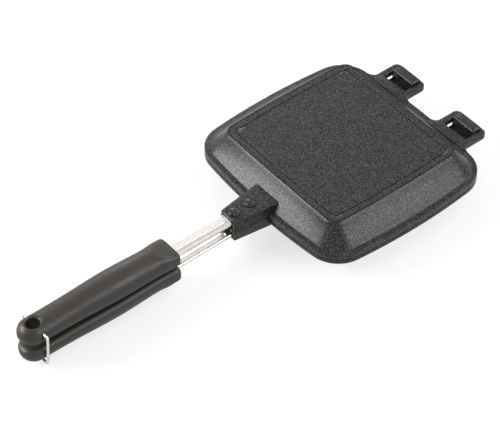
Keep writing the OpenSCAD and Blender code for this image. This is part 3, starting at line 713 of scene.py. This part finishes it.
# Three cutters: hang hole, tang pocket and pivot holes. Each runs a few
# millimetres past the side that it opens.
hang_r, hang_inset, mouth_r = 4.5, 10.7, 1.2
mouth_z = grip_gap + (grip_l - hang_inset) * math.tan(lean) + back_z(hang_r + mouth_r)
mouth = [(hang_r, -3.0), (hang_r, mouth_z - mouth_r)]
mouth += arc(hang_r + mouth_r, mouth_z - mouth_r, mouth_r, 180, 90)[1:]
mouth += [(hang_r + mouth_r, mouth_z + 5)]
hang = piece("hang_cut", [turned_solid(mouth, 0, -(grip_y + grip_l - hang_inset))])

tang_fit = 0.15
tang_h = (web_z + (grip_y - bend_y) * math.tan(lean) - grip_gap) * math.cos(lean)
pw, low, high = shank_w / 2 + tang_fit, tang_h - shank_h - tang_fit, tang_h + bead_h + tang_fit
rings = [[(x, y, z) for x, z in ((-pw, low), (pw, low), (pw, high), (-pw, high))]
         for y in (2.0, -tang_l - tang_fit)]
pocket = piece("pocket_cut", [lofted(rings)], leaned)

wire_d, pin_gap, pivot_inset, pivot_h, pivot_depth = 2.0, 0.05, 12.3, 9.8, 3.1
pivot_y, pin_r = grip_y + grip_l - pivot_inset, wire_d / 2 + pin_gap
turns = [math.tau * i / 24 for i in range(24)]
pins = [lofted([[(x * way, -pivot_y + pin_r * math.cos(a), pivot_h + pin_r * math.sin(a))
                 for a in turns] for x in (end_r - pivot_depth - pin_gap, end_r + 2)])
        for way in (-1, 1)]
pin_cut = piece("pin_cut", pins)

# Phenolic moulding: warm black and satin, with a fine matt grain from the
# mould and slight clouding from handling. Grain of 0.3 mm is drawn at 0.7 mm.
resin, nt, place = finish("black_phenolic")
grain = add(nt, "ShaderNodeTexNoise", {"Vector": place, "Scale": 1 / (0.7 * MM),
                                       "Detail": 3.0}).outputs["Fac"]
cloud = add(nt, "ShaderNodeTexNoise", {"Vector": place, "Scale": 1 / (14 * MM),
                                       "Detail": 2.0}).outputs["Fac"]
tone = add(nt, "ShaderNodeMix", {"Factor": grain, 6: lin("#1f1b17"), 7: lin("#2f2a25")},
           data_type="RGBA").outputs[2]
rough = add(nt, "ShaderNodeMapRange", {"Value": cloud, "From Min": 0.3, "From Max": 0.7,
                                       "To Min": 0.40, "To Max": 0.50}).outputs[0]
bump = add(nt, "ShaderNodeBump", {"Height": grain, "Strength": 0.4,
                                  "Distance": 0.03 * MM}).outputs[0]
shader = add(nt, "ShaderNodeBsdfPrincipled", {
    "Base Color": tone, "Roughness": rough, "Normal": bump, "IOR": 1.47}).outputs[0]
add(nt, "ShaderNodeOutputMaterial", {"Surface": shader})


def moulded(name, cuts, side):
    """The grip's body minus its cuts, remeshed so that every edge is soft."""
    obj = grip_body.copy()
    obj.data = grip_body.data.copy()
    obj.name = name
    bpy.context.scene.collection.objects.link(obj)
    for cut in cuts:
        modifier = obj.modifiers.new("cut", "BOOLEAN")
        modifier.operation, modifier.object, modifier.solver = "DIFFERENCE", cut, "EXACT"
    remesh = obj.modifiers.new("soften", "REMESH")
    remesh.mode, remesh.voxel_size = "VOXEL", 0.38 * MM
    relax = obj.modifiers.new("relax", "SMOOTH")
    relax.factor, relax.iterations = 0.5, 4
    graph = bpy.context.evaluated_depsgraph_get()
    mesh = bpy.data.meshes.new_from_object(obj.evaluated_get(graph))
    obj.modifiers.clear()
    obj.data = mesh
    mesh.name = name
    for vertex in mesh.vertices:
        vertex.co = Vector(side(vertex.co / MM)) * MM
    if side is lower:
        mesh.flip_normals()
    mesh.shade_smooth()
    mesh.materials.clear()
    mesh.materials.append(resin)
    return obj


upper_grip = moulded("upper_moulded_grip", [hang, pocket, pin_cut], upper)
lower_grip = moulded("lower_moulded_grip", [hang, pocket], lower)
for obj in (grip_body, hang, pocket, pin_cut):
    bpy.data.objects.remove(obj)
for obj, body in ((upper_grip, "upper_half"), (lower_grip, "lower_half")):
    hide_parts(body.replace("half", "grip"))
    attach(obj, body)

# ---- Grip screws ------------------------------------------------------------
# One countersunk steel screw, zinc plated, is driven through each tang from
# the grip's flat side. It has a cross recess and sits flush in the resin.

# It sits that far from the tang's end, and its stem starts inside the head, at
# that share of the head's height.
screw_inset, stem_start = 16.0, 0.8
screw_at = Vector(leaned((0.0, screw_inset - tang_l, 0.0))) * MM
tree, given, out = group("countersunk_screw", place=tuple(screw_at), lean=lean, head_d=6.6 * MM,
                         head_h=1.55 * MM, stem_d=3.5 * MM, length=9.4 * MM, recess_l=3.8 * MM,
                         recess_w=0.9 * MM, recess_h=0.8 * MM, up=1.0, middle_z=meet_z * MM,
                         metal="NodeSocketMaterial")
head = add(tree, "GeometryNodeMeshCone", {
    "Vertices": 48, "Radius Top": calc("MULTIPLY", given["stem_d"], 0.5),
    "Radius Bottom": calc("MULTIPLY", given["head_d"], 0.5),
    "Depth": given["head_h"]}).outputs["Mesh"]
double = calc("MULTIPLY", given["recess_h"], 2.0)
bars = [add(tree, "GeometryNodeMeshCube", {"Size": size}).outputs["Mesh"]
        for size in (vec(given["recess_l"], given["recess_w"], double),
                     vec(given["recess_w"], given["recess_l"], double))]
recess = add(tree, "GeometryNodeMeshBoolean", {"Mesh 1": head},
             operation="DIFFERENCE", solver="EXACT")
for bar in bars:
    tree.links.new(bar, recess.inputs["Mesh 2"])
stem = rod(given["stem_d"], calc("MULTIPLY", given["head_h"], stem_start), given["length"])
whole = add(tree, "GeometryNodeJoinGeometry")
for part in (recess.outputs["Mesh"], stem):
    tree.links.new(part, whole.inputs[0])
tilted = add(tree, "GeometryNodeTransform", {
    "Geometry": whole.outputs[0], "Translation": given["place"],
    "Rotation": vec(calc("MULTIPLY", given["lean"], -1.0))}).outputs[0]
turned = add(tree, "GeometryNodeTransform", {
    "Geometry": tilted, "Translation": vec(0.0, 0.0, given["middle_z"]),
    "Scale": vec(1.0, 1.0, given["up"])}).outputs[0]
real = add(tree, "GeometryNodeRealizeInstances", {"Geometry": turned}).outputs[0]
done = add(tree, "GeometryNodeSetMaterial", {"Geometry": real,
                                             "Material": given["metal"]}).outputs[0]
tree.links.new(done, out[0])

# Zinc-plated steel: pale bluish metal with a slightly mottled, soft gloss.
zinc, nt, place = finish("zinc_plated_steel")
mottle = add(nt, "ShaderNodeTexNoise", {"Vector": place, "Scale": 1 / (0.8 * MM),
                                        "Detail": 2.0}).outputs["Fac"]
tone = add(nt, "ShaderNodeMix", {"Factor": mottle, 6: lin("#b2b5ba"), 7: lin("#c9cbce")},
           data_type="RGBA").outputs[2]
rough = add(nt, "ShaderNodeMapRange", {"Value": mottle, "From Min": 0.3, "From Max": 0.7,
                                       "To Min": 0.28, "To Max": 0.40}).outputs[0]
shader = add(nt, "ShaderNodeBsdfPrincipled", {"Base Color": tone, "Roughness": rough,
                                              "Metallic": 1.0}).outputs[0]
add(nt, "ShaderNodeOutputMaterial", {"Surface": shader})

for body, up in (("upper_half", 1.0), ("lower_half", -1.0)):
    screw = grown(body.replace("half", "countersunk_screw"), tree, sharp=30, up=up, metal=zinc)
    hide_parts(body.replace("half", "grip_screw"))
    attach(screw, body)

# ---- Wire clip --------------------------------------------------------------
# One piece of bright spring wire, bent to a stirrup. Its two ends turn in
# blind holes in the upper grip's sides, and its bar snaps under the lower grip.

# The legs spread towards the pivots, and clear the lower grip's widest line and
# its back by clip_gap.
spread, clip_gap, pin_bend, foot_bend = math.radians(5.5), 0.4, 1.5, 3.5
side_z = grip_gap + (grip_l - pivot_inset) * math.tan(lean) + side_h
side_x = end_r + clip_gap + wire_d / 2
bar_z = side_z - side_h + end_t + clip_gap + wire_d / 2
top_x = side_x + (pivot_h + side_z) * math.tan(spread)
low_x = side_x - (bar_z - side_z) * math.tan(spread)
pin_x = end_r - pivot_depth
corners = [(-pin_x, pivot_h, 0.0), (-top_x, pivot_h, pin_bend), (-low_x, -bar_z, foot_bend),
           (low_x, -bar_z, foot_bend), (top_x, pivot_h, pin_bend), (pin_x, pivot_h, 0.0)]
path = bpy.data.meshes.new("wire_path")
path.from_pydata([Vector(upper((x, -pivot_y, z))) * MM for x, z, _ in corners],
                 [(i, i + 1) for i in range(5)], [])
bends = path.attributes.new("bend", "FLOAT", "POINT")
bends.data.foreach_set("value", [r * MM for _, _, r in corners])

tree, given, out = group("bent_wire", path="NodeSocketGeometry", wire_d=wire_d * MM,
                         metal="NodeSocketMaterial")
line = add(tree, "GeometryNodeMeshToCurve", {"Mesh": given["path"]}).outputs[0]
radii = add(tree, "GeometryNodeInputNamedAttribute", {"Name": "bend"},
            data_type="FLOAT").outputs[0]
bent = add(tree, "GeometryNodeFilletCurve", {"Curve": line, "Count": 14, "Radius": radii},
           mode="POLY").outputs[0]
circle = add(tree, "GeometryNodeCurvePrimitiveCircle", {
    "Resolution": 28, "Radius": calc("MULTIPLY", given["wire_d"], 0.5)}).outputs[0]
wire = add(tree, "GeometryNodeCurveToMesh", {"Curve": bent, "Profile Curve": circle,
                                             "Fill Caps": True}).outputs[0]
real = add(tree, "GeometryNodeRealizeInstances", {"Geometry": wire}).outputs[0]
done = add(tree, "GeometryNodeSetMaterial", {"Geometry": real,
                                             "Material": given["metal"]}).outputs[0]
tree.links.new(done, out[0])

# Bright drawn spring wire: sharp, slightly warm reflections with a few dull
# spots along it.
spring, nt, place = finish("bright_spring_wire")
spots = add(nt, "ShaderNodeTexNoise", {"Vector": place, "Scale": 1 / (2.5 * MM),
                                       "Detail": 3.0}).outputs["Fac"]
rough = add(nt, "ShaderNodeMapRange", {"Value": spots, "From Min": 0.35, "From Max": 0.7,
                                       "To Min": 0.14, "To Max": 0.26}).outputs[0]
tone = add(nt, "ShaderNodeMix", {"Factor": spots, 6: lin("#dad8d4"), 7: lin("#c2c0bb")},
           data_type="RGBA").outputs[2]
shader = add(nt, "ShaderNodeBsdfPrincipled", {"Base Color": tone, "Roughness": rough,
                                              "Metallic": 1.0}).outputs[0]
add(nt, "ShaderNodeOutputMaterial", {"Surface": shader})

clip = grown("wire_stirrup", tree, path, metal=spring)
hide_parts("wire_clip")
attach(clip, "clip")

# ---- Studio -----------------------------------------------------------------
# A pale floor that reads as white paper, broad soft lamps, and the camera at
# the photograph's angle, which looks down on the pan from the grips' side.

plane = bpy.data.meshes.new("paper_floor")
plane.from_pydata([(-4, -4, 0), (4, -4, 0), (4, 4, 0), (-4, 4, 0)], [], [(0, 1, 2, 3)])
floor = bpy.data.objects.new("paper_floor", plane)
bpy.context.scene.collection.objects.link(floor)
paper = bpy.data.materials.new("white_paper")
paper.use_nodes = True
world = bpy.data.worlds.new("studio_air")
world.use_nodes = True
bpy.context.scene.world = world


def background_seen(nt):
    """1 where the camera, a gloss or glass sees the surface, 0 where it lights."""
    nt.nodes.clear()
    rays = add(nt, "ShaderNodeLightPath").outputs
    seen = add(nt, "ShaderNodeMath", {0: rays["Is Camera Ray"], 1: rays["Is Glossy Ray"]},
               operation="MAXIMUM").outputs[0]
    return add(nt, "ShaderNodeMath", {0: seen, 1: rays["Is Transmission Ray"]},
               operation="MAXIMUM").outputs[0]


# White paper: a matt part, which keeps the iron's shadow, and a glow that the
# camera and gloss alone see. Together they read as white.
floor_glow, floor_matt = 0.7, 0.35
nt = paper.node_tree
seen_glow = add(nt, "ShaderNodeMath", {0: background_seen(nt), 1: floor_glow},
                operation="MULTIPLY").outputs[0]
glow = add(nt, "ShaderNodeEmission", {"Color": (1, 1, 1, 1), "Strength": seen_glow}).outputs[0]
matt = add(nt, "ShaderNodeBsdfDiffuse", {
    "Color": (floor_matt, floor_matt, floor_matt, 1)}).outputs[0]
both = add(nt, "ShaderNodeAddShader", {0: matt, 1: glow}).outputs[0]
add(nt, "ShaderNodeOutputMaterial", {"Surface": both})
floor.data.materials.append(paper)

nt = world.node_tree
level = add(nt, "ShaderNodeMapRange", {"Value": background_seen(nt), "To Min": 0.4,
                                       "To Max": 1.0}).outputs[0]
air = add(nt, "ShaderNodeBackground", {"Color": (1, 1, 1, 1), "Strength": level}).outputs[0]
add(nt, "ShaderNodeOutputWorld", {"Surface": air})

# Each softbox: its place and size in metres and its power in watts.
lamp_aim = Vector((0, -0.05, 0))
for name, spot, size, power in (
        ("window_left", (-1.25, -1.4, 0.9), (1.2, 0.8), 44.0),
        ("reflector_right", (1.5, 0.85, 1.05), (1.2, 0.8), 20.0),
        ("window_back", (-1.6, 0.75, 0.95), (0.6, 0.5), 6.5),
        ("overhead", (0.1, 1.5, 1.3), (1.0, 0.6), 10.0)):
    data = bpy.data.lights.new(name, "AREA")
    data.shape, data.size, data.size_y, data.energy = "RECTANGLE", size[0], size[1], power
    lamp = bpy.data.objects.new(name, data)
    lamp.location = spot
    lamp.rotation_euler = (lamp_aim - Vector(spot)).to_track_quat("-Z", "Y").to_euler()
    bpy.context.scene.collection.objects.link(lamp)

# The camera as fitted to the photograph: the way back to it, the point that it
# looks at, its distance in metres, its focal length in pixels, and its roll.
back = Vector((0.5471, -0.4377, 0.7135)).normalized()
target, distance = Vector((0.95, -71.7, meet_z)) * MM, 1.485
focal_px, photo_px, sensor_w, roll = 2321.7, 500, 36.0, math.radians(-0.457)
data = bpy.data.cameras.new("photo_camera")
data.sensor_width, data.lens = sensor_w, focal_px / photo_px * sensor_w
data.shift_x, data.shift_y = -0.0112, -0.0023
data.clip_start, data.clip_end = 0.1, 20.0
camera = bpy.data.objects.new("photo_camera", data)
camera.location = target + back * distance
right = Vector((0, 0, 1)).cross(back).normalized()
up = back.cross(right)
right, up = (right * math.cos(roll) + up * math.sin(roll),
             up * math.cos(roll) - right * math.sin(roll))
camera.rotation_euler = Matrix((right, up, back)).transposed().to_euler()
bpy.context.scene.collection.objects.link(camera)
bpy.context.scene.camera = camera

bpy.context.scene.view_settings.view_transform = "Standard"
